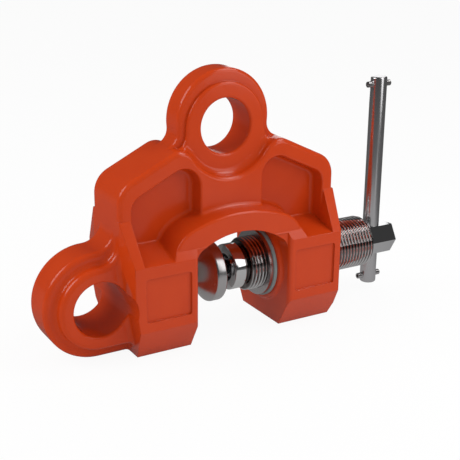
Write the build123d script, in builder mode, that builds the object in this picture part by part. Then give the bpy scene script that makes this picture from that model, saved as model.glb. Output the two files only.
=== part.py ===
"""Multi-directional screw lifting clamp.

Frame: millimetres, +Z up with the leg bottoms on Z = 0, +X along the screw
towards its hexagon, -Y the front. The origin is in the throat's mouth, straight
below the top eye, on the forging's parting plane.
"""
from build123d import *
from math import atan2, cos, degrees, radians, sin, sqrt, tan
import os

# Forged body, seen from the front
side_x = 91.0
side_draft = 11.0
corner_z = 125.8
shoulder_slope = 25.8
corner_r = 19.0
peak_r = 14.0
slab_t = 45.0
slab_edge_r = 3.5
valley_r = 36.0
valley_fillet = 5.0

# Legs, their pads and the arch over the throat
leg_t = 81.0
foot_setback = 13.8
foot_h = 24.3
foot_in_right = 3.5
foot_in_left = 10.0
pad_top_z = 73.5
throat_x = 1.9
throat_w = 77.8
throat_top_z = 86.5
throat_top_r = 61.0
throat_corner_r = 10.0
arch_setback = 3.7
arch_top_z = 101.0
arch_top_r = 105.0
arch_foot_w = 114.0
arch_side = 30.0
arch_shoulder_r = 24.0
arch_draft = 4.0
arch_edge_r = 2.0
arch_foot_r = 3.0
shelf_foot_r = 1.5
facet_top_z = 79.7
strip_top_z = 103.0
strip_in_x = 80.0
strip_top_in_x = 82.0
panel_depth = 1.6
panel_left = -79.2
panel_right = 82.2
panel_w = 36.0
panel_bottom = 31.7
panel_h = 32.9
panel_corner_r = 2.0

# Pockets beside the middle rib
pocket_in_x = 26.0
pocket_out_x = 81.0
pocket_rim = 12.5
pocket_depth = 12.0
pocket_draft = 7.0
pocket_lip_r = 1.5
pocket_in_r = 14.0
pocket_out_r = 12.0
pocket_floor_r = 3.0
shelf_back_z = 81.0

# Top lifting eye
eye_z = 160.2
eye_bore_r = 20.6
eye_boss_t = 27.5
eye_rim_step = 5.7
eye_rim_t = 21.0
eye_rim_r = 38.0
eye_rim_z = 164.0
eye_neck_r = 11.0
eye_edge_r = 3.0
eye_step_r = 1.8
eye_bore_edge_r = 2.0

# Side lifting eye
side_eye_x = -105.7
side_eye_z = 40.8
side_bore_r = 20.6
side_rim_step = 9.1
side_boss_edge_r = 4.0
side_bore_edge_r = 2.0
side_rim_t = 28.0
side_rim_r = 40.1
side_rim_edge_r = 3.5
side_foot_r = 3.8
side_blend_r = 4.0

# Screw line
axis_z = 45.0
thread_r = 21.0
thread_len = 117.3
thread_chamfer = 1.6
relief_r = 17.2
relief_len = 3.8
nose_out = 25.7
nose_len = 9.6
nose_r = 18.0
nose_edge_r = 0.8
hex_af = 24.0
hex_len = 28.9
hex_edge = 1.0
running_fit = 0.05

# Bush in the right leg
bush_r = 24.6
bush_flange_r = 26.3
bush_flange_t = 3.2
ring_r = 27.4
ring_t = 2.5
seat_r = 30.5
seat_h = 2.4
seat_fillet = 2.0
seat_edge_r = 1.2
spot_r = 29.0
lock_screw_r = 3.0
lock_screw_len = 10.0
lock_screw_bite = 1.5

# Ball joint inside the screw's nose
ball_in = 10.0
ball_r = 8.5
neck_r = 5.8
socket_r = 11.0
socket_len = 20.1
seat_front_gap = 0.9
washer_out_r = 10.7
washer_from = 54.0
washer_to = 84.0
clip_in = 1.2
clip_t = 1.2
clip_groove = 0.8
clip_in_r = 9.4
clip_gap = 20.0
clip_turn = 70.0
lug_in_r = 7.7
lug_w = 3.0
lug_hole_r = 0.7

# Swivel pad
swivel_gap = 10.2
swivel_rim_w = 8.4
swivel_r = 23.5
swivel_cone_h = 10.0
swivel_nose_r = 8.5
swivel_edge_r = 1.6
hub_r = 8.8
hub_len = 4.8
stud_shank_r = 4.5
stud_depth = 9.0
cross_pin_r = 1.5

# Fixed pad in the left leg
fixed_pad_r = 19.0
fixed_pad_t = 11.0
fixed_pad_proud = 3.0
tooth_pitch = 4.0
tooth_depth = 1.4
pad_screw_r = 4.0
pad_screw_head_r = 7.5
pad_screw_len = 20.0
pad_screw_sink = 2.4

# Tommy bar and its two stop pins
bar_from_thread = 11.2
bar_r = 6.7
bar_bottom_z = 6.5
bar_len = 175.6
bar_edge = 1.4
bar_fit = 0.1
stop_pin_r = 2.4
stop_pin_bore_r = 1.4
stop_pin_slot = 0.8
stop_pin_len = 22.0
stop_pin_in = 6.0

front = Plane.XZ
slab_y = slab_t / 2
leg_y = leg_t / 2
foot_y = leg_y - foot_setback
arch_y = leg_y - arch_setback
floor_y = slab_y - pocket_depth
throat_r = throat_w / 2
throat_foot_z = throat_top_z - throat_r
left_inner_x = throat_x - throat_r
right_inner_x = throat_x + throat_r
slope = tan(radians(shoulder_slope))
apex_z = corner_z + side_x * slope
rim_z = apex_z - pocket_rim / cos(radians(shoulder_slope))
draft = tan(radians(side_draft))
eye_boss_r = eye_rim_r - eye_rim_step
eye_root_x = 2 * valley_r
eye_root_w = pocket_rim * 0.9
eye_root_z = apex_z - eye_root_x * slope
side_boss_r = side_rim_r - side_rim_step
side_root_x = -side_x + (side_x - pocket_out_x) * 0.7
side_sweep_r = -side_x - side_eye_x
side_root_z = side_eye_z + side_rim_r + side_sweep_r + 5
side_inner_x = (left_inner_x - side_x) * 0.6
seat_x = right_inner_x - seat_h
bush_face_x = seat_x - ring_t - bush_flange_t
nose_x = bush_face_x - nose_out
thread_start_x = nose_x + nose_len + relief_len
thread_end_x = thread_start_x + thread_len
hex_end_x = thread_end_x + hex_len
bar_x = thread_end_x + bar_from_thread
ball_x = nose_x + ball_in
socket_end_x = nose_x + socket_len
clip_x = nose_x + clip_in
swivel_back_x = nose_x - swivel_gap
bush_end_x = side_x - 1.5
lock_x = (right_inner_x + side_x) / 2
lock_tip_z = axis_z - bush_r + lock_screw_bite
pad_face_x = left_inner_x + fixed_pad_proud
pad_floor_x = pad_face_x - fixed_pad_t
head_face_x = pad_face_x - pad_screw_sink
head_cone_x = head_face_x - (pad_screw_head_r - pad_screw_r)
pad_screw_tip_x = head_cone_x - pad_screw_len
swivel_front_x = swivel_back_x - swivel_rim_w
hub_end_x = swivel_back_x + hub_len
nose_angle = degrees(atan2(swivel_cone_h, swivel_r - swivel_nose_r))
cross_pin_x = (swivel_back_x + hub_end_x) / 2
nose_ball_r = swivel_nose_r / sin(radians(nose_angle))
swivel_tip_x = swivel_front_x - swivel_cone_h - nose_ball_r * (1 - cos(radians(nose_angle)))
bar_top_z = bar_bottom_z + bar_len
screw_axis = Axis((0, 0, axis_z), (1, 0, 0))


def section(points, mode=Mode.ADD):
    """A closed polygon in the active sketch, where its points say."""
    return Polygon(*points, align=None, mode=mode)


def turned(points, mode=Mode.ADD):
    """A solid turned about the screw axis from (x, radius) points."""
    with BuildSketch(front) as profile:
        section([(x, axis_z + r) for x, r in points])
    revolve(profile.sketch, axis=screw_axis, mode=mode)


def side_outline(all_faces):
    """Front and back outline edges of the side eye, but not those inside the leg."""
    outline = all_faces.sort_by(Axis.Y)[0].edges() + all_faces.sort_by(Axis.Y)[-1].edges()
    return [e for e in outline if e.center().X < side_root_x - 1 and e.center().Z < side_root_z - 1]


def rings(all_edges, depth, radius):
    """Round edges of one radius, this far in front of and behind the parting plane."""
    found = [e for e in all_edges.filter_by(GeomType.CIRCLE) if abs(e.radius - radius) < 0.01]
    return [e for e in found if abs(abs(e.center().Y) - depth) < 0.01]


def seat_rings(all_edges, outer):
    """Round edges of the bush's seat: its outer rim, or its foot on the leg."""
    found = [e for e in all_edges.filter_by(GeomType.CIRCLE) if abs(e.radius - seat_r) < 0.01]
    return [e for e in found if (abs(e.center().X - seat_x) < 0.01) == outer]


def pocket_lips(all_edges):
    """Edges where the pockets' walls meet the web's two faces."""
    found = []
    for e in all_edges:
        x, y, z = abs(e.center().X), abs(e.center().Y), e.center().Z
        if abs(y - slab_y) < 0.01 and pocket_in_x - 1 < x < pocket_out_x + 1:
            if foot_h + 1 < z < rim_z - x * slope + 1:
                found.append(e)
    return found


def pocket_foot(all_edges, on_shelf):
    """Edges on the pockets' floors, where the shelves or the arch's flanks start."""
    on_floor = [e for e in all_edges if abs(abs(e.center().Y) - floor_y) < 0.01]
    level = [e for e in on_floor if e.bounding_box().size.Y < 0.01 and e.bounding_box().size.X > 1]
    inside = [e for e in level if abs(e.center().X) < pocket_out_x]
    above = [e for e in inside if shelf_back_z - 1 < e.center().Z < arch_top_z]
    return [e for e in above if (abs(e.center().Z - shelf_back_z) < 0.01) == on_shelf]


def eye_flanks(all_faces):
    """Upright edges where the flat faces of the side eye's boss meet the leg."""
    flat = [f for f in all_faces.filter_by(Axis.Y) if abs(abs(f.center().Y) - slab_y) < 0.01]
    boss = [f for f in flat if f.center().X < -side_x]
    lines = [e for f in boss for e in f.edges().filter_by(GeomType.LINE)]
    return [e for e in lines if e.bounding_box().size.Z > 0.1]


def arch_rim(all_edges):
    """Outer edges of the arch's two faces, from facet to facet."""
    on_face = [e for e in all_edges if abs(abs(e.center().Y) - arch_y) < 0.01]
    level = [e for e in on_face if e.bounding_box().size.Y < 0.01 and e.bounding_box().size.X > 1]
    above = [e for e in level if e.bounding_box().max.Z > facet_top_z + 0.1]
    outer = [e for e in above if abs(e.center().X) > throat_r / 2]
    return outer + [e for e in level if e.center().Z > arch_top_z - 1]


# Plan of the legs: upright sides as far forward as the slab, drafted in from there
with BuildPart() as leg_plan:
    with BuildSketch(Plane.XY):
        near_x = side_x - (leg_y - slab_y) * draft
        section([
            (-near_x, -leg_y), (near_x, -leg_y), (side_x, -slab_y), (side_x, slab_y),
            (near_x, leg_y), (-near_x, leg_y), (-side_x, slab_y), (-side_x, -slab_y),
        ])
    extrude(amount=strip_top_z)

# Slab between shoulders and legs, with the valley under the eye
with BuildPart() as slab:
    with BuildSketch(front):
        section([
            (-side_x, foot_h), (side_x, foot_h), (side_x, corner_z), (0, apex_z), (-side_x, corner_z),
        ])
        with Locations((0, eye_z)):
            Circle(valley_r, mode=Mode.SUBTRACT)
        fillet(vertices().sort_by(Axis.Y)[-2:], peak_r)
        outer = [v for v in vertices() if abs(abs(v.X) - side_x) < 0.01 and v.Y > pad_top_z]
        fillet(outer, corner_r)
    extrude(amount=slab_y, both=True)
    rim_edges = faces().sort_by(Axis.Y)[0].edges() + faces().sort_by(Axis.Y)[-1].edges()
    fillet([e for e in rim_edges if e.center().Z > foot_h + 1], slab_edge_r)

# One drafted pocket, cut four times
with BuildPart() as pocket:
    with BuildSketch(front.offset(floor_y)):
        section([
            (pocket_in_x, 0),
            (pocket_out_x, 0),
            (pocket_out_x, rim_z - pocket_out_x * slope),
            (pocket_in_x, rim_z - pocket_in_x * slope),
        ])
        fillet(vertices().sort_by(Axis.Y)[-1], pocket_in_r)
        outer = [v for v in vertices() if abs(v.X - pocket_out_x) < 0.01 and v.Y > pad_top_z]
        fillet(outer, pocket_out_r)
        offset(amount=-pocket_depth * tan(radians(pocket_draft)))
    extrude(amount=pocket_depth + 1, taper=-pocket_draft)
    fillet(faces().sort_by(Axis.Y)[-1].edges(), pocket_floor_r)

# Web: the slab with its four pockets and their soft lips
with BuildPart() as web:
    add(slab.part)
    for cut in (pocket.part, pocket.part.mirror(Plane.YZ)):
        add(cut, mode=Mode.SUBTRACT)
        add(cut.mirror(Plane.XZ), mode=Mode.SUBTRACT)
    fillet(pocket_lips(edges()), pocket_lip_r)

# Legs with their sloping shelf, then the side strips that rise to the slab
with BuildPart() as legs:
    with BuildSketch(Plane.YZ):
        section([
            (-foot_y, 0), (-leg_y, foot_h), (-leg_y, pad_top_z), (-floor_y, shelf_back_z),
            (floor_y, shelf_back_z), (leg_y, pad_top_z), (leg_y, foot_h), (foot_y, 0),
        ])
    extrude(amount=side_x, both=True)
    with BuildSketch(Plane.YZ.offset(strip_in_x)) as strip_face:
        section([
            (-leg_y, foot_h + 1), (-leg_y, pad_top_z), (-slab_y, strip_top_z),
            (slab_y, strip_top_z), (leg_y, pad_top_z), (leg_y, foot_h + 1),
        ])
    extrude(amount=side_x - strip_in_x)
    extrude(strip_face.sketch.mirror(Plane.YZ), amount=side_x - strip_in_x)
    add(leg_plan.part, mode=Mode.INTERSECT)
    with BuildSketch(front):
        for inner in (-1, 1):
            section([
                (inner * strip_in_x, pad_top_z), (inner * strip_top_in_x, strip_top_z),
                (inner * strip_in_x, strip_top_z),
            ])
        section([(side_x + 1, foot_h), (side_x, foot_h), (side_x - foot_in_right, 0), (side_x + 1, 0)])
        section([
            (-side_x - 1, pad_top_z), (-side_x, pad_top_z), (-side_x + foot_in_left, 0), (-side_x - 1, 0),
        ])
    extrude(amount=leg_t, both=True, mode=Mode.SUBTRACT)

# Arch: a drafted plate with a flat-topped outline, whose face steps down to the pads over two facets
with BuildPart() as arch:
    foot_x = arch_foot_w / 2
    lean = (apex_z - pad_top_z) * tan(radians(arch_side))
    with BuildSketch(front):
        section([
            (-foot_x, pad_top_z), (foot_x, pad_top_z), (foot_x - lean, apex_z), (lean - foot_x, apex_z),
        ])
        with Locations((0, arch_top_z - arch_top_r)):
            Circle(arch_top_r, mode=Mode.INTERSECT)
        fillet(vertices().sort_by(Axis.Y)[-2:], arch_shoulder_r)
        section([
            (-foot_x, throat_foot_z), (foot_x, throat_foot_z), (foot_x, pad_top_z), (-foot_x, pad_top_z),
        ])
        offset(amount=arch_y * tan(radians(arch_draft)), kind=Kind.INTERSECTION)
    extrude(amount=leg_y, both=True, taper=arch_draft)
    with BuildSketch(Plane.YZ):
        section([
            (-leg_y, throat_foot_z), (-leg_y, pad_top_z), (-arch_y, facet_top_z), (-arch_y, apex_z),
            (arch_y, apex_z), (arch_y, facet_top_z), (leg_y, pad_top_z), (leg_y, throat_foot_z),
        ])
    extrude(amount=side_x, both=True, mode=Mode.INTERSECT)

# Top eye: a thin rim, and a thicker flat boss that flares into the shoulders
with BuildPart() as top_eye:
    for layer_z, layer_r, layer_t, edge_r in (
        (eye_rim_z, eye_rim_r, eye_rim_t, eye_edge_r),
        (eye_z, eye_boss_r, eye_boss_t, eye_step_r),
    ):
        drop = eye_rim_r - layer_r
        with BuildSketch(front):
            with Locations((0, eye_z)):
                Circle(valley_r + 2 * eye_step_r)
            section([
                (-eye_root_x, eye_root_z - drop), (0, apex_z - drop), (eye_root_x, eye_root_z - drop),
                (eye_root_x, apex_z + eye_root_x), (-eye_root_x, apex_z + eye_root_x),
            ], Mode.SUBTRACT)
            section([
                (-eye_root_x, eye_root_z - drop), (0, apex_z - drop), (eye_root_x, eye_root_z - drop),
                (eye_root_x, eye_root_z - eye_root_w), (0, apex_z - eye_root_w),
                (-eye_root_x, eye_root_z - eye_root_w),
            ])
            with Locations((0, layer_z)):
                Circle(layer_r)
            necks = [v for v in vertices() if abs(apex_z - abs(v.X) * slope - drop - v.Y) < 0.01]
            fillet([v for v in necks if 1 < abs(v.X) < eye_root_x - 1], eye_neck_r + drop)
        extrude(amount=layer_t / 2, both=True)
        fillet(faces().sort_by(Axis.Y)[0].edges() + faces().sort_by(Axis.Y)[-1].edges(), edge_r)

# Side eye: a rim and a thicker boss, both swept up into the left leg
with BuildPart() as side_eye:
    for layer_r, layer_t in ((side_rim_r, side_rim_t), (side_boss_r, slab_t)):
        top_z = side_eye_z + layer_r
        bottom_z = side_eye_z - layer_r
        with BuildSketch(front):
            with Locations((side_eye_x, side_eye_z)):
                Circle(layer_r)
            section([
                (side_eye_x, bottom_z), (side_inner_x, bottom_z), (side_inner_x, pad_top_z),
                (side_root_x, pad_top_z), (side_root_x, side_root_z), (-side_x, side_root_z),
                (-side_x, top_z), (side_eye_x, top_z),
            ])
            with Locations((-side_x - side_sweep_r / 2, top_z + side_sweep_r / 2)):
                Rectangle(side_sweep_r, side_sweep_r)
            with Locations((-side_x - side_sweep_r, top_z + side_sweep_r)):
                Circle(side_sweep_r, mode=Mode.SUBTRACT)
            section([
                (side_inner_x, -leg_t), (0, -leg_t), (0, side_root_z + 1), (side_root_x, side_root_z + 1),
                (side_root_x, pad_top_z), (side_inner_x, pad_top_z),
            ], Mode.SUBTRACT)
        extrude(amount=layer_t / 2, both=True)
        if layer_r == side_rim_r:
            fillet(side_outline(faces()), side_rim_edge_r)
    foot = []
    for e in edges():
        on_rim = abs(abs(e.center().Y) - side_rim_t / 2) < 0.01 and e.bounding_box().size.Y < 0.01
        if e.geom_type == GeomType.CIRCLE:
            if on_rim and abs(e.radius - side_boss_r) < 0.01:
                foot.append(e)
        elif on_rim and abs(e.center().Z - bottom_z) < 0.01:
            foot.append(e)
    fillet(foot, side_foot_r)
    fillet(side_outline(faces()), side_boss_edge_r)

with BuildPart() as clamp_body:
    add(web.part)
    add(legs.part)
    add(arch.part)
    add(top_eye.part)
    add(side_eye.part)
    fillet(pocket_foot(edges(), False), arch_foot_r)
    fillet(pocket_foot(edges(), True), shelf_foot_r)
    fillet(eye_flanks(faces()), side_blend_r)
    # Throat between the legs, whose pads round off down to the arch's face
    with BuildSketch(front):
        section([
            (left_inner_x, -1), (right_inner_x, -1),
            (right_inner_x, throat_top_z + 1), (left_inner_x, throat_top_z + 1),
        ])
        with Locations((0, throat_top_z - throat_top_r)):
            Circle(throat_top_r, mode=Mode.INTERSECT)
        fillet(vertices().sort_by(Axis.Y)[-2:], throat_corner_r)
    extrude(amount=leg_t, both=True, mode=Mode.SUBTRACT)
    with BuildSketch(Plane.XY.offset(-1)) as pad_corners:
        with Locations((throat_x, -leg_y)):
            Rectangle(throat_w + 2 * arch_setback, 2 * arch_setback)
        with Locations((left_inner_x - arch_setback, -arch_y), (right_inner_x + arch_setback, -arch_y)):
            Circle(arch_setback, mode=Mode.SUBTRACT)
    extrude(amount=facet_top_z, mode=Mode.SUBTRACT)
    extrude(pad_corners.sketch.mirror(Plane.XZ), amount=facet_top_z, mode=Mode.SUBTRACT)
    # Raised seat for the bush on the right leg
    turned([(seat_x, 0), (seat_x, seat_r), (right_inner_x + 1, seat_r), (right_inner_x + 1, 0)])
    # Bores
    with BuildSketch(front):
        with Locations((0, eye_z)):
            Circle(eye_bore_r)
        with Locations((side_eye_x, side_eye_z)):
            Circle(side_bore_r)
    extrude(amount=leg_t, both=True, mode=Mode.SUBTRACT)
    # Bare panels on the four pads
    for side in (-leg_y, leg_y):
        with BuildSketch(front.offset(side)):
            with Locations(
                (panel_left + panel_w / 2, panel_bottom + panel_h / 2),
                (panel_right - panel_w / 2, panel_bottom + panel_h / 2),
            ):
                RectangleRounded(panel_w, panel_h, panel_corner_r)
        extrude(amount=panel_depth if side < 0 else -panel_depth, mode=Mode.SUBTRACT)

    # Blends: the seat, under the eye, round the bores, on the arch and the pads
    fillet(seat_rings(edges(), True), seat_edge_r)
    fillet(seat_rings(edges(), False), seat_fillet)
    fillet(rings(edges(), eye_boss_t / 2, valley_r), valley_fillet)
    fillet(rings(edges(), eye_boss_t / 2, eye_bore_r), eye_bore_edge_r)
    fillet(rings(edges(), slab_y, side_bore_r), side_bore_edge_r)
    fillet(arch_rim(edges()), arch_edge_r)
    # Spot face and bore for the bush, pocket and tapped hole for the fixed pad, lock screw's hole
    turned([
        (throat_x, 0), (throat_x, spot_r), (seat_x, spot_r), (seat_x, bush_r + running_fit),
        (side_x, bush_r + running_fit), (side_x, 0),
    ], Mode.SUBTRACT)
    turned([
        (throat_x, 0), (throat_x, fixed_pad_r + running_fit),
        (pad_floor_x, fixed_pad_r + running_fit), (pad_floor_x, pad_screw_r + running_fit),
        (pad_screw_tip_x - 1, pad_screw_r + running_fit), (pad_screw_tip_x - 1, 0),
    ], Mode.SUBTRACT)
    with BuildSketch(Plane.XY):
        with Locations((lock_x, 0)):
            Circle(lock_screw_r + running_fit)
    extrude(amount=axis_z, mode=Mode.SUBTRACT)

# Serrated pad in the left leg: crossed V grooves and a countersunk screw hole
with BuildPart() as fixed_jaw_pad:
    turned([
        (pad_floor_x, 0), (pad_floor_x, fixed_pad_r), (pad_face_x - tooth_depth, fixed_pad_r),
        (pad_face_x, fixed_pad_r - tooth_depth), (pad_face_x, 0),
    ])
    groove_n = int(2 * fixed_pad_r / tooth_pitch)
    vee = [(-tooth_depth, 0), (0.1, tooth_depth + 0.1), (0.1, -tooth_depth - 0.1)]
    for along in ((0, -1, 0), (0, 0, 1)):
        with BuildSketch(Plane((pad_face_x, 0, axis_z), (1, 0, 0), along)):
            with GridLocations(1, tooth_pitch, 1, groove_n):
                section(vee)
        extrude(amount=fixed_pad_r, both=True, mode=Mode.SUBTRACT)
    turned([
        (pad_floor_x, 0), (pad_floor_x, pad_screw_r + running_fit), (head_cone_x, pad_screw_r + running_fit),
        (head_face_x, pad_screw_head_r + running_fit), (pad_face_x, pad_screw_head_r + running_fit),
        (pad_face_x, 0),
    ], Mode.SUBTRACT)

with BuildPart() as fixed_pad_screw:
    turned([
        (pad_screw_tip_x, 0), (pad_screw_tip_x, pad_screw_r), (head_cone_x, pad_screw_r),
        (head_face_x, pad_screw_head_r), (head_face_x, 0),
    ])
    with BuildSketch(Plane.YZ.offset(head_face_x)):
        with Locations((0, axis_z)):
            RegularPolygon(pad_screw_r * 0.72, 6)
    extrude(amount=-pad_screw_r, mode=Mode.SUBTRACT)

# Flanged bush that the screw turns in, dimpled for its lock screw
with BuildPart() as thread_bush:
    turned([
        (bush_face_x, thread_r + running_fit), (bush_face_x, bush_flange_r),
        (bush_face_x + bush_flange_t, bush_flange_r), (bush_face_x + bush_flange_t, bush_r),
        (bush_end_x, bush_r), (bush_end_x, thread_r + running_fit),
    ])
    with BuildSketch(Plane.XY.offset(lock_tip_z)):
        with Locations((lock_x, 0)):
            Circle(lock_screw_r + running_fit)
    extrude(amount=-bush_r, mode=Mode.SUBTRACT)

with BuildPart() as bush_ring:
    turned([
        (bush_face_x + bush_flange_t, bush_r + running_fit), (bush_face_x + bush_flange_t, ring_r),
        (seat_x, ring_r), (seat_x, bush_r + running_fit),
    ])
    fillet(edges().filter_by(GeomType.CIRCLE).sort_by(SortBy.RADIUS)[-2:], ring_t / 5)

with BuildPart() as bush_lock_screw:
    with BuildSketch(Plane.XY.offset(lock_tip_z - lock_screw_len)):
        with Locations((lock_x, 0)):
            Circle(lock_screw_r)
    extrude(amount=lock_screw_len)
    with BuildSketch(Plane.XY.offset(lock_tip_z - lock_screw_len)):
        with Locations((lock_x, 0)):
            RegularPolygon(lock_screw_r / 2, 6)
    extrude(amount=lock_screw_len / 3, mode=Mode.SUBTRACT)

# Screw: nose with its ball socket, relief, plain cylinder at the thread's
# crest, and the hexagon with the bar's cross hole
with BuildPart() as screw_spindle:
    turned([
        (socket_end_x, 0), (socket_end_x, socket_r), (clip_x + clip_t, socket_r),
        (clip_x + clip_t, socket_r + clip_groove), (clip_x, socket_r + clip_groove), (clip_x, socket_r),
        (nose_x, socket_r), (nose_x, nose_r - nose_edge_r), (nose_x + nose_edge_r, nose_r),
        (nose_x + nose_len, nose_r), (nose_x + nose_len, relief_r), (thread_start_x, relief_r),
        (thread_start_x, thread_r - thread_chamfer), (thread_start_x + thread_chamfer, thread_r),
        (thread_end_x - thread_chamfer, thread_r), (thread_end_x, thread_r - thread_chamfer),
        (thread_end_x, 0),
    ])
    with BuildSketch(Plane.YZ.offset(thread_end_x - 1)):
        with Locations((0, axis_z)):
            RegularPolygon(hex_af / 2, 6, major_radius=False)
    extrude(amount=hex_end_x - thread_end_x + 1)
    chamfer(faces().sort_by(Axis.X)[-1].edges(), hex_edge)
    with BuildSketch(Plane.XY.offset(axis_z)):
        with Locations((bar_x, 0)):
            Circle(bar_r + bar_fit)
    extrude(amount=hex_af, both=True, mode=Mode.SUBTRACT)

# Hardened seat at the bottom of the socket: it travels with the screw but need not turn
with BuildPart() as thrust_seat:
    with BuildSketch(front):
        section([
            (ball_x + seat_front_gap, axis_z), (ball_x + seat_front_gap, axis_z + socket_r - running_fit),
            (socket_end_x - running_fit, axis_z + socket_r - running_fit),
            (socket_end_x - running_fit, axis_z),
        ])
        with Locations((ball_x, axis_z)):
            Circle(ball_r + running_fit, mode=Mode.SUBTRACT)
    revolve(axis=screw_axis)

# Spherical washer that keeps the ball in and tilts with it
with BuildPart() as ball_washer:
    with BuildSketch(front):
        with Locations((ball_x, axis_z)):
            Circle(washer_out_r)
            Circle(ball_r + running_fit, mode=Mode.SUBTRACT)
        far = 2 * socket_r
        section([
            (ball_x, axis_z),
            (ball_x - far * cos(radians(washer_from)), axis_z + far * sin(radians(washer_from))),
            (ball_x - far * cos(radians(washer_to)), axis_z + far * sin(radians(washer_to))),
        ], Mode.INTERSECT)
    revolve(axis=screw_axis)

# Circlip sprung into the nose's groove, open towards its two drilled lugs
with BuildPart() as retaining_circlip:
    gap_way = (0, -cos(radians(clip_turn)), sin(radians(clip_turn)))
    with BuildSketch(Plane((clip_x + running_fit, 0, axis_z), gap_way, (1, 0, 0))):
        Circle(socket_r + clip_groove - running_fit)
        Circle(clip_in_r, mode=Mode.SUBTRACT)
        with PolarLocations((lug_in_r + clip_in_r) / 2, 2, -clip_gap, 2 * clip_gap, endpoint=True):
            Rectangle(clip_in_r - lug_in_r + 1, lug_w)
        gap_y = clip_in_r * sin(radians(clip_gap)) - lug_w / 2
        section([(0, -gap_y), (2 * socket_r, -gap_y), (2 * socket_r, gap_y), (0, gap_y)], Mode.SUBTRACT)
        with PolarLocations((lug_in_r + clip_in_r) / 2, 2, -clip_gap, 2 * clip_gap, endpoint=True):
            Circle(lug_hole_r, mode=Mode.SUBTRACT)
    extrude(amount=clip_t - 2 * running_fit)

# Swivel pad: cone face with a rounded tip, rim and the hub that takes the stud
with BuildPart() as swivel_pad:
    with BuildSketch(front):
        with BuildLine():
            Polyline(
                (swivel_tip_x, axis_z), (hub_end_x, axis_z), (hub_end_x, axis_z + hub_r),
                (swivel_back_x, axis_z + hub_r), (swivel_back_x, axis_z + swivel_r),
                (swivel_front_x, axis_z + swivel_r),
                (swivel_front_x - swivel_cone_h, axis_z + swivel_nose_r),
            )
            half = radians(nose_angle / 2)
            ThreePointArc(
                (swivel_front_x - swivel_cone_h, axis_z + swivel_nose_r),
                (swivel_tip_x + nose_ball_r * (1 - cos(half)), axis_z + nose_ball_r * sin(half)),
                (swivel_tip_x, axis_z),
            )
        make_face()
    revolve(axis=screw_axis)
    flats = faces().filter_by(GeomType.PLANE)
    fillet([e for f in flats if abs(f.center().X - swivel_back_x) < 0.01 for e in f.edges()], swivel_edge_r)
    turned([
        (hub_end_x - stud_depth - 0.5, 0), (hub_end_x - stud_depth - 0.5, stud_shank_r + running_fit),
        (hub_end_x, stud_shank_r + running_fit), (hub_end_x, 0),
    ], Mode.SUBTRACT)
    with BuildSketch(front):
        with Locations((cross_pin_x, axis_z)):
            Circle(cross_pin_r + running_fit)
    extrude(amount=hub_r, both=True, mode=Mode.SUBTRACT)

# Ball stud: ball, neck and the shank pinned in the pad's hub
with BuildPart() as ball_stud:
    turned([
        (hub_end_x - stud_depth, 0), (hub_end_x - stud_depth, stud_shank_r), (hub_end_x, stud_shank_r),
        (hub_end_x, neck_r), (ball_x, neck_r), (ball_x, 0),
    ])
    with Locations((ball_x, 0, axis_z)):
        Sphere(ball_r)
    with BuildSketch(front):
        with Locations((cross_pin_x, axis_z)):
            Circle(cross_pin_r + running_fit)
    extrude(amount=hub_r, both=True, mode=Mode.SUBTRACT)

with BuildPart() as stud_pin:
    with BuildSketch(front):
        with Locations((cross_pin_x, axis_z)):
            Circle(cross_pin_r)
    extrude(amount=sqrt(hub_r**2 - cross_pin_r**2), both=True)
    chamfer(edges().filter_by(GeomType.CIRCLE), cross_pin_r / 5)

# Tommy bar with a slotted spring pin through each end
with BuildPart() as tommy_bar:
    with BuildSketch(Plane.XY.offset(bar_bottom_z)):
        with Locations((bar_x, 0)):
            Circle(bar_r)
    extrude(amount=bar_len)
    fillet(edges().filter_by(GeomType.CIRCLE), bar_edge)
    for pin_z in (bar_bottom_z + stop_pin_in, bar_top_z - stop_pin_in):
        with BuildSketch(Plane.YZ.offset(bar_x)):
            with Locations((0, pin_z)):
                Circle(stop_pin_r + running_fit)
        extrude(amount=bar_r, both=True, mode=Mode.SUBTRACT)

stop_pins = []
for pin_z in (bar_bottom_z + stop_pin_in, bar_top_z - stop_pin_in):
    with BuildPart() as stop_pin:
        with BuildSketch(Plane.YZ.offset(bar_x)):
            with Locations((0, pin_z)):
                Circle(stop_pin_r)
                Circle(stop_pin_bore_r, mode=Mode.SUBTRACT)
            with Locations((0, pin_z + stop_pin_r)):
                Rectangle(stop_pin_slot, 2 * stop_pin_r, mode=Mode.SUBTRACT)
        extrude(amount=stop_pin_len / 2, both=True)
    stop_pins.append(stop_pin.part)

nodes = {
    "clamp_body": clamp_body.part,
    "fixed_jaw_pad": fixed_jaw_pad.part,
    "fixed_pad_screw": fixed_pad_screw.part,
    "thread_bush": thread_bush.part,
    "bush_ring": bush_ring.part,
    "bush_lock_screw": bush_lock_screw.part,
    "screw_spindle": screw_spindle.part,
    "thrust_seat": thrust_seat.part,
    "ball_washer": ball_washer.part,
    "retaining_circlip": retaining_circlip.part,
    "ball_stud": ball_stud.part,
    "swivel_pad": swivel_pad.part,
    "stud_pin": stud_pin.part,
    "tommy_bar": tommy_bar.part,
    "lower_stop_pin": stop_pins[0],
    "upper_stop_pin": stop_pins[1],
}
os.makedirs("parts", exist_ok=True)
for name, solid in nodes.items():
    solid.label = name
    export_step(solid, f"parts/{name}.step")
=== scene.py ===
"""Looks of the multi-directional screw lifting clamp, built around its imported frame.

Everything is in metres in the frame's own axes: +X along the screw, -Y the
front, +Z up with the leg bottoms on Z = 0.
"""
import math

import bmesh
import bpy
import numpy as np
from mathutils import Matrix, Vector


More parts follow.
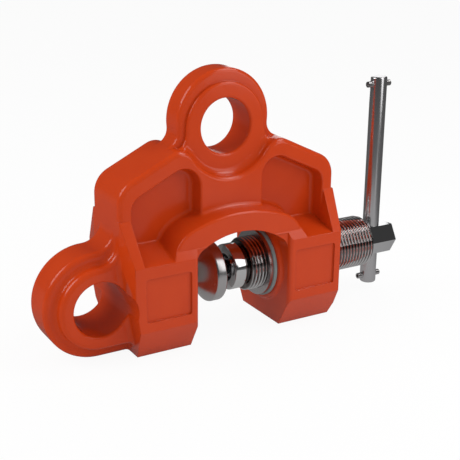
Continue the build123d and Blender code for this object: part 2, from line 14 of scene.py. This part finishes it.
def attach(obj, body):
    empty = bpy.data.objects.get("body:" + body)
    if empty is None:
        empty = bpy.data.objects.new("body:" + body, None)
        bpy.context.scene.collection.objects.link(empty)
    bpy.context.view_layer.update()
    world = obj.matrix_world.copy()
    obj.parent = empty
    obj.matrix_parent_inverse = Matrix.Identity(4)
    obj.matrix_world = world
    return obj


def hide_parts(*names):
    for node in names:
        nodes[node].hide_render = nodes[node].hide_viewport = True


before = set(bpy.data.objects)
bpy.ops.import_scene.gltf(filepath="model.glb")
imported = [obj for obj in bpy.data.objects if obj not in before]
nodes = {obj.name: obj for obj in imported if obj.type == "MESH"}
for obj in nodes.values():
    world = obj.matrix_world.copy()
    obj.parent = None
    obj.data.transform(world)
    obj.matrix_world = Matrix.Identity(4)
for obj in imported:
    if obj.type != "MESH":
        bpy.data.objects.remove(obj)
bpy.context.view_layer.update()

MM = 0.001
TURN = 2 * math.pi
MERGE_GAP = 0.004
STEPS_PER_PITCH = 14
THREAD_SEGMENTS = 120
THREAD_SHARP_ANGLE = 50.0
PART_SHARP_ANGLE = 30.0

# Sizes of the clamp, in millimetres, as in the frame
AXIS_Z = 45.0
THREAD_R = 21.0
THREAD_START_X = 20.4
THREAD_END_X = 137.7
THREAD_PITCH = 3.0
THREAD_CHAMFER = 1.6
CREST_SHARE = 1 / 8
DEPTH_SHARE = 0.5413
FLANK_ANGLE = math.radians(60)
RELIEF_R = 15.6
THREAD_MARGIN = 0.1
NOSE_X = 7.0
NOSE_LEN = 9.6
NOSE_R = 18.0
SOCKET_R = 11.0
SOCKET_END_X = 27.1
CLIP_X = 8.2
CLIP_T = 1.2
CLIP_GROOVE = 0.8
PAD_HUB_X = 1.6
PAD_HUB_R = 8.8
PAD_BACK_X = -3.2
PAD_FRONT_X = -11.6
PAD_R = 23.5
PAD_CONE_X = -21.6
PAD_NOSE_R = 8.5
PAD_BORE_R = 4.55
PAD_BORE_X = -7.9
BAR_X = 148.9
BAR_R = 6.7
BAR_BOTTOM_Z = 6.5
BAR_LEN = 175.6
BAR_EDGE = 1.4


# Meshes

def mesh_object(name, vertices, faces):
    """A smooth-shaded object from vertex places in metres and lists of corner numbers."""
    mesh = bpy.data.meshes.new(name)
    mesh.from_pydata(vertices, [], faces)
    mesh.update()
    built = bpy.data.objects.new(name, mesh)
    bpy.context.scene.collection.objects.link(built)
    return built


def grid_object(name, x, y, z, sharp_angle=35.0):
    """A surface through a grid of points that closes on itself along its second side.

    Each cell of the grid becomes a four-sided face; rings that shrink to a
    point are merged into a pole. Inputs are millimetres.
    """
    rows, cols = x.shape
    points = np.stack([x, y, z], axis=-1).reshape(-1, 3) * MM
    i, j = np.meshgrid(np.arange(rows - 1), np.arange(cols), indexing="ij")
    k = (j + 1) % cols
    quads = np.stack([i * cols + j, i * cols + k, (i + 1) * cols + k, (i + 1) * cols + j], axis=-1)
    built = mesh_object(name, points.tolist(), quads.reshape(-1, 4).tolist())
    tidy_mesh(built, sharp_angle)
    return built


def tidy_mesh(built, sharp_angle):
    """Merges coincident points, turns all faces outwards and smooths all but sharp edges."""
    work = bmesh.new()
    work.from_mesh(built.data)
    bmesh.ops.remove_doubles(work, verts=work.verts, dist=MERGE_GAP * MM)
    bmesh.ops.recalc_face_normals(work, faces=work.faces)
    for face in work.faces:
        face.smooth = True
    limit = math.radians(sharp_angle)
    for edge in work.edges:
        edge.smooth = len(edge.link_faces) != 2 or edge.calc_face_angle(0.0) < limit
    work.to_mesh(built.data)
    work.free()


def rounded(corners, steps=6):
    """A profile with rounded corners, from rows of (x, radius, corner radius).

    Each corner is replaced by an arc that touches both of its sides.
    """
    corners = np.array(corners, float)
    out = [corners[0, :2]]
    for before, here, after in zip(corners[:-2], corners[1:-1], corners[2:]):
        size = here[2]
        if size <= 0:
            out.append(here[:2])
            continue
        a = (before[:2] - here[:2]) / np.linalg.norm(before[:2] - here[:2])
        b = (after[:2] - here[:2]) / np.linalg.norm(after[:2] - here[:2])
        half = math.acos(np.clip(a @ b, -1, 1)) / 2
        centre = here[:2] + (a + b) / np.linalg.norm(a + b) * size / math.sin(half)
        first = here[:2] + a * size / math.tan(half) - centre
        last = here[:2] + b * size / math.tan(half) - centre
        t = np.linspace(0, 1, steps + 1)[:, None]
        sweep = math.acos(np.clip(first @ last / size**2, -1, 1))
        arc = (first * np.sin((1 - t) * sweep) + last * np.sin(t * sweep)) / math.sin(sweep)
        out.extend(centre + arc)
    out.append(corners[-1, :2])
    return np.array(out)


def turned(name, corners, segments=128):
    """A piece turned about the screw's axis: each profile point swept round a full circle."""
    profile = rounded(corners)
    angle = np.linspace(0, TURN, segments, endpoint=False)[None, :]
    x = np.repeat(profile[:, :1], segments, axis=1)
    r = profile[:, 1:]
    return grid_object(name, x, r * np.cos(angle), AXIS_Z + r * np.sin(angle))


def upright_bar(name, centre_x, corners, segments=96):
    """A round bar along Z: each (z, radius) point of its profile swept round a full circle."""
    profile = rounded(corners)
    angle = np.linspace(0, TURN, segments, endpoint=False)[None, :]
    z = np.repeat(profile[:, :1], segments, axis=1)
    r = profile[:, 1:]
    return grid_object(name, centre_x + r * np.cos(angle), r * np.sin(angle), z)


def thread_radius(x, angle):
    """Radius of a metric right-hand thread at a place along the screw and an angle round it.

    The distance from the nearest crest's middle line grows with x and falls
    with the angle; past the flat crest the 60 degree flanks fall at tan 60,
    down to the flat root.
    """
    phase = np.mod(x / THREAD_PITCH - angle / TURN, 1.0)
    off_crest = np.abs(phase - 0.5) * THREAD_PITCH
    fall = (off_crest - THREAD_PITCH * CREST_SHARE / 2) * math.tan(FLANK_ANGLE)
    depth = np.clip(fall, 0, DEPTH_SHARE * THREAD_PITCH)
    ends = np.minimum(x - THREAD_START_X, THREAD_END_X - x) + THREAD_R - THREAD_CHAMFER
    return np.minimum(THREAD_R - depth, ends)


def screw_body():
    """The screw from its socket to the end of its thread, as one turned surface.

    Plain rows have one radius all round; the rows along the thread take
    theirs from the helix.
    """
    angle = np.linspace(0, TURN, THREAD_SEGMENTS, endpoint=False)[None, :]
    front = rounded([
        (SOCKET_END_X, 0, 0), (SOCKET_END_X, SOCKET_R, 0), (CLIP_X + CLIP_T, SOCKET_R, 0),
        (CLIP_X + CLIP_T, SOCKET_R + CLIP_GROOVE, 0), (CLIP_X, SOCKET_R + CLIP_GROOVE, 0),
        (CLIP_X, SOCKET_R, 0), (NOSE_X, SOCKET_R, 0.5), (NOSE_X, NOSE_R, 1.0),
        (NOSE_X + NOSE_LEN, NOSE_R, 0.6), (NOSE_X + NOSE_LEN, RELIEF_R, 0), (THREAD_START_X, RELIEF_R, 0.3),
        (THREAD_START_X, THREAD_R - THREAD_CHAMFER, 0),
    ])
    along = np.arange(THREAD_START_X, THREAD_END_X, THREAD_PITCH / STEPS_PER_PITCH)
    x = np.concatenate([front[:, 0], along, [THREAD_END_X, THREAD_END_X]])[:, None] + 0 * angle
    plain = np.concatenate([front[:, 1], along, [THREAD_R - THREAD_CHAMFER, 0]])[:, None] + 0 * angle
    first = len(front)
    r = plain.copy()
    r[first:first + len(along)] = thread_radius(x[first:first + len(along)], angle)
    return grid_object("threaded_screw", x, r * np.cos(angle), AXIS_Z + r * np.sin(angle),
                       THREAD_SHARP_ANGLE)


def part_of_node(name, node, keep):
    """A merged copy of a frame node's faces, those whose centres pass a test."""
    source = nodes[node].data
    corners = np.empty(len(source.vertices) * 3)
    source.vertices.foreach_get("co", corners)
    corners = corners.reshape(-1, 3)
    faces = np.array([tuple(p.vertices) for p in source.polygons])
    kept = faces[keep(corners[faces].mean(axis=1))]
    built = mesh_object(name, corners.tolist(), kept.tolist())
    tidy_mesh(built, PART_SHARP_ANGLE)
    work = bmesh.new()
    work.from_mesh(built.data)
    bmesh.ops.delete(work, geom=[v for v in work.verts if not v.link_faces], context="VERTS")
    work.to_mesh(built.data)
    work.free()
    return built


# Materials

def node_group(name, inputs, outputs):
    """An empty node group with float or colour sockets, and its two end nodes."""
    group = bpy.data.node_groups.new(name, "ShaderNodeTree")
    for label, kind, value in inputs:
        socket = group.interface.new_socket(name=label, in_out="INPUT", socket_type=kind)
        socket.default_value = value
    for label, kind in outputs:
        group.interface.new_socket(name=label, in_out="OUTPUT", socket_type=kind)
    return group, group.nodes.new("NodeGroupInput"), group.nodes.new("NodeGroupOutput")


def math_node(tree, operation, *values, clamp=False):
    """A Math node on sockets or numbers; gives its output socket."""
    node = tree.nodes.new("ShaderNodeMath")
    node.operation = operation
    node.use_clamp = clamp
    for socket, value in zip(node.inputs, values):
        if isinstance(value, (int, float)):
            socket.default_value = value
        else:
            tree.links.new(value, socket)
    return node.outputs[0]


def ramp(tree, value, low, high, bottom=0.0, top=1.0):
    """A smooth rise from one value to another as the input goes from low to high."""
    node = tree.nodes.new("ShaderNodeMapRange")
    node.interpolation_type = "SMOOTHSTEP"
    tree.links.new(value, node.inputs["Value"])
    for label, number in (("From Min", low), ("From Max", high), ("To Min", bottom), ("To Max", top)):
        node.inputs[label].default_value = number
    return node.outputs["Result"]


def noise(tree, vector, scale, detail=3.0, rough=0.55):
    """A noise texture's value on a vector, at so many waves per metre."""
    node = tree.nodes.new("ShaderNodeTexNoise")
    node.inputs["Detail"].default_value = detail
    node.inputs["Roughness"].default_value = rough
    if isinstance(scale, (int, float)):
        node.inputs["Scale"].default_value = scale
    else:
        tree.links.new(scale, node.inputs["Scale"])
    tree.links.new(vector, node.inputs["Vector"])
    return node.outputs["Fac"]


def forged_coat_group():
    """Paint on a forging: broad waves of the die, fine orange peel and a faint drift of tone."""
    group, inputs, outputs = node_group(
        "forged_coat",
        [("Tone", "NodeSocketColor", (0.5, 0.1, 0.02, 1)),
         ("Deep Tone", "NodeSocketColor", (0.4, 0.08, 0.02, 1)),
         ("Wave Scale", "NodeSocketFloat", 60.0), ("Peel Scale", "NodeSocketFloat", 900.0),
         ("Gloss", "NodeSocketFloat", 0.35)],
        [("Color", "NodeSocketColor"), ("Roughness", "NodeSocketFloat"), ("Height", "NodeSocketFloat")])
    place = group.nodes.new("ShaderNodeTexCoord").outputs["Object"]
    waves = noise(group, place, inputs.outputs["Wave Scale"], 2.0)
    peel = noise(group, place, inputs.outputs["Peel Scale"], 2.0)
    mix = group.nodes.new("ShaderNodeMix")
    mix.data_type = "RGBA"
    group.links.new(math_node(group, "MULTIPLY_ADD", waves, 1.4, -0.2, clamp=True), mix.inputs["Factor"])
    group.links.new(inputs.outputs["Tone"], mix.inputs["A"])
    group.links.new(inputs.outputs["Deep Tone"], mix.inputs["B"])
    group.links.new(mix.outputs["Result"], outputs.inputs["Color"])
    spread = math_node(group, "MULTIPLY", math_node(group, "SUBTRACT", peel, 0.5), 0.06)
    gloss = math_node(group, "ADD", inputs.outputs["Gloss"], spread, clamp=True)
    group.links.new(gloss, outputs.inputs["Roughness"])
    height = math_node(group, "ADD", math_node(group, "MULTIPLY", waves, 3.0),
                       math_node(group, "MULTIPLY", peel, 0.12))
    group.links.new(height, outputs.inputs["Height"])
    return group


def turning_marks_group():
    """Fine rings left by a lathe: noise that changes along one axis far faster than round it."""
    group, inputs, outputs = node_group(
        "turning_marks",
        [("Ring Scale", "NodeSocketFloat", 4000.0), ("Gloss", "NodeSocketFloat", 0.1),
         ("Spread", "NodeSocketFloat", 0.08), ("Axis", "NodeSocketVector", (1.0, 0.03, 0.03))],
        [("Roughness", "NodeSocketFloat"), ("Height", "NodeSocketFloat")])
    place = group.nodes.new("ShaderNodeTexCoord").outputs["Object"]
    stretch = group.nodes.new("ShaderNodeVectorMath")
    stretch.operation = "MULTIPLY"
    group.links.new(place, stretch.inputs[0])
    group.links.new(inputs.outputs["Axis"], stretch.inputs[1])
    rings = noise(group, stretch.outputs[0], inputs.outputs["Ring Scale"], 2.0)
    smudge = noise(group, place, 45.0, 3.0)
    both = math_node(group, "ADD", rings, math_node(group, "SUBTRACT", smudge, 1.0))
    spread = math_node(group, "MULTIPLY", both, inputs.outputs["Spread"])
    gloss = math_node(group, "ADD", spread, inputs.outputs["Gloss"], clamp=True)
    group.links.new(gloss, outputs.inputs["Roughness"])
    group.links.new(rings, outputs.inputs["Height"])
    return group


def root_shade_group():
    """How deep a place lies in the thread, for painted shade: 1 at the root, 0 on the crest and off the
    thread.
    """
    group, inputs, outputs = node_group(
        "painted_root_shade",
        [("Root Radius", "NodeSocketFloat", 0.0195), ("Crest Radius", "NodeSocketFloat", 0.0209),
         ("Start", "NodeSocketFloat", (NOSE_X + NOSE_LEN + THREAD_MARGIN) * MM),
         ("End", "NodeSocketFloat", (THREAD_END_X - THREAD_MARGIN) * MM)],
        [("Depth", "NodeSocketFloat")])
    place = group.nodes.new("ShaderNodeTexCoord").outputs["Object"]
    split = group.nodes.new("ShaderNodeSeparateXYZ")
    group.links.new(place, split.inputs[0])
    up = math_node(group, "SUBTRACT", split.outputs["Z"], AXIS_Z * MM)
    radius = math_node(group, "SQRT", math_node(
        group, "ADD", math_node(group, "MULTIPLY", split.outputs["Y"], split.outputs["Y"]),
        math_node(group, "MULTIPLY", up, up)))
    span = math_node(group, "SUBTRACT", inputs.outputs["Crest Radius"], inputs.outputs["Root Radius"])
    above_root = math_node(group, "SUBTRACT", radius, inputs.outputs["Root Radius"])
    height = math_node(group, "DIVIDE", above_root, span, clamp=True)
    on_thread = math_node(
        group, "MULTIPLY", math_node(group, "GREATER_THAN", split.outputs["X"], inputs.outputs["Start"]),
        math_node(group, "LESS_THAN", split.outputs["X"], inputs.outputs["End"]))
    streaks = ramp(group, noise(group, place, 90.0, 3.0), 0.25, 0.6, 0.8, 1.0)
    depth = math_node(group, "MULTIPLY", math_node(group, "SUBTRACT", 1.0, height), streaks)
    group.links.new(math_node(group, "MULTIPLY", depth, on_thread), outputs.inputs["Depth"])
    return group


def new_material(name):
    """A node material with its Principled shader; gives the material, its tree and the shader."""
    made = bpy.data.materials.new(name)
    made.use_nodes = True
    return made, made.node_tree, made.node_tree.nodes["Principled BSDF"]


def place_group(tree, group, values):
    """Places a node group in a material with its own values."""
    node = tree.nodes.new("ShaderNodeGroup")
    node.node_tree = group
    for label, value in values.items():
        node.inputs[label].default_value = value
    return node


def bump(tree, shader, height, distance, strength, edge_radius=0.0):
    """Feeds a height to the shader's normal, over edges softened by a small radius."""
    node = tree.nodes.new("ShaderNodeBump")
    node.inputs["Distance"].default_value = distance
    node.inputs["Strength"].default_value = strength
    tree.links.new(height, node.inputs["Height"])
    if edge_radius:
        soft = tree.nodes.new("ShaderNodeBevel")
        soft.samples = 6
        soft.inputs["Radius"].default_value = edge_radius
        tree.links.new(soft.outputs["Normal"], node.inputs["Normal"])
    tree.links.new(node.outputs["Normal"], shader.inputs["Normal"])


def orange_coat(group):
    """Satin orange coat on the forging."""
    made, tree, shader = new_material("orange_coat")
    coat = place_group(tree, group, {
        "Tone": (0.56, 0.050, 0.006, 1), "Deep Tone": (0.52, 0.043, 0.005, 1),
        "Wave Scale": 45.0, "Peel Scale": 420.0, "Gloss": 0.19})
    tree.links.new(coat.outputs["Color"], shader.inputs["Base Color"])
    tree.links.new(coat.outputs["Roughness"], shader.inputs["Roughness"])
    shader.inputs["Specular IOR Level"].default_value = 0.4
    bump(tree, shader, coat.outputs["Height"], 0.00010, 0.4, 0.0008)
    return made


def steel(name, group, tone, gloss, spread, axis, ring_scale=4000.0, bite=0.4, metal=1.0):
    """Bare or plated steel with turning marks; a dull skin is less of a metal."""
    made, tree, shader = new_material(name)
    marks = place_group(tree, group, {
        "Ring Scale": ring_scale, "Gloss": gloss, "Spread": spread, "Axis": axis})
    shader.inputs["Base Color"].default_value = (*tone, 1)
    shader.inputs["Metallic"].default_value = metal
    tree.links.new(marks.outputs["Roughness"], shader.inputs["Roughness"])
    bump(tree, shader, marks.outputs["Height"], 0.00001, bite)
    return made


def threaded_steel(name, marks, roots, tone, root_shade_tone, gloss):
    """Bright turned steel whose thread root is darkened by painted shade."""
    made = steel(name, marks, tone, gloss, 0.04, ALONG_X)
    tree = made.node_tree
    shader = tree.nodes["Principled BSDF"]
    depth = place_group(tree, roots, {}).outputs["Depth"]
    # Painted shade: the root colour darkens the steel towards the thread's root.
    mix = tree.nodes.new("ShaderNodeMix")
    mix.data_type = "RGBA"
    mix.inputs["A"].default_value = (*tone, 1)
    mix.inputs["B"].default_value = (*root_shade_tone, 1)
    tree.links.new(depth, mix.inputs["Factor"])
    tree.links.new(mix.outputs["Result"], shader.inputs["Base Color"])
    return made


def matte_spacer(group):
    """Grey-green matte spacer ring."""
    made, tree, shader = new_material("matte_spacer")
    coat = place_group(tree, group, {
        "Tone": (0.26, 0.33, 0.33, 1), "Deep Tone": (0.22, 0.28, 0.28, 1),
        "Wave Scale": 150.0, "Peel Scale": 2500.0, "Gloss": 0.55})
    tree.links.new(coat.outputs["Color"], shader.inputs["Base Color"])
    tree.links.new(coat.outputs["Roughness"], shader.inputs["Roughness"])
    bump(tree, shader, coat.outputs["Height"], 0.00004, 0.5, 0.0003)
    return made


def dress(target, material):
    """Gives a piece its one material, and a new piece its slot."""
    target.data.materials.clear()
    target.data.materials.append(material)


ALONG_X = (1.0, 0.03, 0.03)
ALONG_Z = (0.03, 0.03, 1.0)
coat_group = forged_coat_group()
marks_group = turning_marks_group()
body_coat = orange_coat(coat_group)
bright_x = steel("bright_steel_turned", marks_group, (0.70, 0.70, 0.71), 0.07, 0.08, ALONG_X)
# The second colour is painted shade for the thread roots.
threaded = threaded_steel("threaded_steel", marks_group, root_shade_group(),
                          (0.74, 0.73, 0.73), (0.12, 0.10, 0.095), 0.10)
satin_x = steel("satin_steel_turned", marks_group, (0.58, 0.56, 0.56), 0.25, 0.06, ALONG_X, 2500.0,
                bite=0.06)
satin_z = steel("satin_steel_bar", marks_group, (0.64, 0.63, 0.64), 0.24, 0.03, ALONG_Z, 900.0,
                bite=0.02)
jaw_steel = steel("jaw_steel", marks_group, (0.62, 0.61, 0.60), 0.40, 0.10, ALONG_X, 2500.0,
                  bite=0.1, metal=0.4)
tempered = steel("tempered_steel", marks_group, (0.30, 0.30, 0.32), 0.38, 0.2, ALONG_X, 1500.0)
blackened = steel("blackened_steel", marks_group, (0.05, 0.05, 0.055), 0.45, 0.2, ALONG_X, 1500.0)
spacer = matte_spacer(coat_group)

for node, material in {
    "clamp_body": body_coat,
    "fixed_jaw_pad": jaw_steel,
    "fixed_pad_screw": blackened,
    "thread_bush": satin_x,
    "bush_ring": spacer,
    "bush_lock_screw": blackened,
    "screw_spindle": threaded,
    "thrust_seat": tempered,
    "ball_washer": tempered,
    "retaining_circlip": blackened,
    "ball_stud": bright_x,
    "swivel_pad": satin_x,
    "stud_pin": bright_x,
    "tommy_bar": satin_z,
    "lower_stop_pin": satin_x,
    "upper_stop_pin": satin_x,
}.items():
    dress(nodes[node], material)


def add_piece(piece, material, body, node=None):
    """Dresses a new piece, lets it ride on its body and stand for its node."""
    dress(piece, material)
    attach(piece, body)
    if node:
        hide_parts(node)


add_piece(screw_body(), threaded, "screw", "screw_spindle")
hexagon = part_of_node("screw_hexagon", "screw_spindle",
                       lambda centres: centres[:, 0] > (THREAD_END_X + THREAD_MARGIN) * MM)
add_piece(hexagon, bright_x, "screw")
nose_ball = math.hypot(PAD_NOSE_R, PAD_NOSE_R * (PAD_R - PAD_NOSE_R) / (PAD_FRONT_X - PAD_CONE_X))
nose_centre = PAD_CONE_X + math.sqrt(nose_ball**2 - PAD_NOSE_R**2)
nose_arc = [(nose_centre - nose_ball * math.cos(a), nose_ball * math.sin(a), 0)
            for a in np.linspace(0, math.asin(PAD_NOSE_R / nose_ball), 12)]
add_piece(turned("swivel_disc", nose_arc + [
    (PAD_FRONT_X, PAD_R, 2.0), (PAD_BACK_X, PAD_R, 1.6), (PAD_BACK_X, PAD_HUB_R, 0.6),
    (PAD_HUB_X, PAD_HUB_R, 0.6), (PAD_HUB_X, PAD_BORE_R, 0), (PAD_BORE_X, PAD_BORE_R, 0), (PAD_BORE_X, 0, 0),
]), satin_x, "pad", "swivel_pad")
add_piece(upright_bar("round_bar", BAR_X, [
    (BAR_BOTTOM_Z, 0, 0), (BAR_BOTTOM_Z, BAR_R, BAR_EDGE), (BAR_BOTTOM_Z + BAR_LEN, BAR_R, BAR_EDGE),
    (BAR_BOTTOM_Z + BAR_LEN, 0, 0),
]), satin_z, "bar", "tommy_bar")


# Floor, light and camera

ROOM_LIGHT = 0.56
DARK_ROOM = 0.05
FLOOR_POOL = (0.07, -0.12, 0.0)
FLOOR_STREAK = (0.165, -0.10, 0.0)
STREAK_STRETCH = (1.0, 0.25, 1.0)
FLOOR_GLOW_SHARE = 0.93
FLOOR_SIZE = 6.0


def stage_sheet(name, size):
    """The floor: a square sheet just under the legs."""
    half = size / 2
    corners = [(-half, -half, 0), (half, -half, 0), (half, half, 0), (-half, half, 0)]
    floor = mesh_object(name, corners, [(0, 1, 2, 3)])
    return floor


def seen_by(tree, kinds):
    """1 where a ray is one of these kinds, else 0."""
    path = tree.nodes.new("ShaderNodeLightPath")
    value = path.outputs[kinds[0]]
    for kind in kinds[1:]:
        value = math_node(tree, "MAXIMUM", value, path.outputs[kind])
    return value


def vector_node(tree, operation, vector, other):
    """A Vector Math node on a socket and a fixed vector."""
    node = tree.nodes.new("ShaderNodeVectorMath")
    node.operation = operation
    tree.links.new(vector, node.inputs[0])
    node.inputs[1].default_value = other
    return node


def vector_value(tree, operation, vector, other):
    """A single number from a vector and a fixed one, such as their distance or dot product."""
    return vector_node(tree, operation, vector, other).outputs["Value"]


def floor_finish():
    """Pale floor: white to the eye but for the shadow; in reflections it has a pool of light before
    the clamp and a streak before the bar."""
    made, tree, shader = new_material("pale_floor")
    shader.inputs["Base Color"].default_value = (0.85, 0.85, 0.85, 1)
    shader.inputs["Roughness"].default_value = 0.9
    place = tree.nodes.new("ShaderNodeTexCoord").outputs["Object"]
    pool = ramp(tree, vector_value(tree, "DISTANCE", place, FLOOR_POOL), 0.10, 0.28, 0.42, 0.08)
    stretched = vector_node(tree, "MULTIPLY", place, STREAK_STRETCH).outputs["Vector"]
    streak = ramp(tree, vector_value(tree, "DISTANCE", stretched, FLOOR_STREAK), 0.02, 0.10, 0.52, 0.0)
    pool = math_node(tree, "MAXIMUM", pool, streak)
    glow = tree.nodes.new("ShaderNodeEmission")
    glow_strength = math_node(tree, "MAXIMUM", seen_by(tree, ("Is Camera Ray",)), pool)
    tree.links.new(glow_strength, glow.inputs["Strength"])
    mix = tree.nodes.new("ShaderNodeMixShader")
    seen = seen_by(tree, ("Is Camera Ray", "Is Glossy Ray", "Is Transmission Ray"))
    tree.links.new(math_node(tree, "MULTIPLY", seen, FLOOR_GLOW_SHARE), mix.inputs["Fac"])
    tree.links.new(shader.outputs["BSDF"], mix.inputs[1])
    tree.links.new(glow.outputs["Emission"], mix.inputs[2])
    tree.links.new(mix.outputs["Shader"], tree.nodes["Material Output"].inputs["Surface"])
    return made


floor = stage_sheet("floor", FLOOR_SIZE)
floor.data.materials.append(floor_finish())


def studio_world():
    """White to the eye, a pale room as a light, and a dark room in reflections."""
    world = bpy.data.worlds.new("studio")
    world.use_nodes = True
    tree = world.node_tree
    shader = tree.nodes["Background"]
    shader.inputs["Color"].default_value = (1, 1, 1, 1)
    glossy = seen_by(tree, ("Is Glossy Ray", "Is Transmission Ray"))
    camera = seen_by(tree, ("Is Camera Ray",))
    lit = math_node(tree, "MULTIPLY_ADD", glossy, DARK_ROOM - ROOM_LIGHT, ROOM_LIGHT)
    tree.links.new(math_node(tree, "MAXIMUM", lit, camera), shader.inputs["Strength"])
    bpy.context.scene.world = world


def softbox(name, place, aim, size, watts, mirrored=True):
    """A rectangular lamp that faces a point; the eye doesn't see it, reflections do if asked."""
    lamp = bpy.data.lights.new(name, "AREA")
    lamp.shape = "RECTANGLE"
    lamp.size, lamp.size_y = size
    lamp.energy = watts
    built = bpy.data.objects.new(name, lamp)
    built.location = place
    built.rotation_euler = (Vector(aim) - Vector(place)).to_track_quat("-Z", "Y").to_euler()
    built.visible_camera = False
    built.visible_glossy = mirrored
    bpy.context.scene.collection.objects.link(built)


studio_world()
softbox("overhead", (0.6, -0.3, 1.08), (0, 0, 0.05), (0.5, 0.5), 3.4)
softbox("window", (0.21, -0.30, 0.27), (0.01, 0, 0.045), (0.15, 0.37), 0.30)
softbox("behind", (0.265, 0.245, 0.215), (0.14, 0, 0.12), (0.18, 0.22), 0.16)
softbox("left", (-1.0, 0.35, 0.9), (0, 0, 0.08), (0.8, 0.8), 7.5)
softbox("front", (-0.3, -1.2, 0.45), (0, 0, 0.08), (1.0, 1.0), 2.4, mirrored=False)

CAMERA_PLACE = (-0.35822, -0.62579, 0.32348)
CAMERA_YAW = math.radians(-30.59)
CAMERA_PITCH = math.radians(-18.90)
CAMERA_ROLL = math.radians(0.56)
CAMERA_LENS = 78.21
CAMERA_SENSOR = 36.0


def photo_camera():
    """The camera, from its place, its heading to the right of +Y, its pitch and its roll."""
    ahead = Vector((-math.sin(CAMERA_YAW) * math.cos(CAMERA_PITCH),
                    math.cos(CAMERA_YAW) * math.cos(CAMERA_PITCH), math.sin(CAMERA_PITCH)))
    right = ahead.cross(Vector((0, 0, 1))).normalized()
    up = right.cross(ahead)
    rolled_right = right * math.cos(CAMERA_ROLL) + up * math.sin(CAMERA_ROLL)
    rolled_up = up * math.cos(CAMERA_ROLL) - right * math.sin(CAMERA_ROLL)
    lens = bpy.data.cameras.new("camera")
    lens.lens = CAMERA_LENS
    lens.sensor_width = CAMERA_SENSOR
    lens.clip_start = 0.01
    built = bpy.data.objects.new("camera", lens)
    built.matrix_world = Matrix((
        (rolled_right.x, rolled_up.x, -ahead.x, CAMERA_PLACE[0]),
        (rolled_right.y, rolled_up.y, -ahead.y, CAMERA_PLACE[1]),
        (rolled_right.z, rolled_up.z, -ahead.z, CAMERA_PLACE[2]),
        (0, 0, 0, 1)))
    bpy.context.scene.collection.objects.link(built)
    bpy.context.scene.camera = built


photo_camera()
bpy.context.scene.view_settings.view_transform = "Standard"
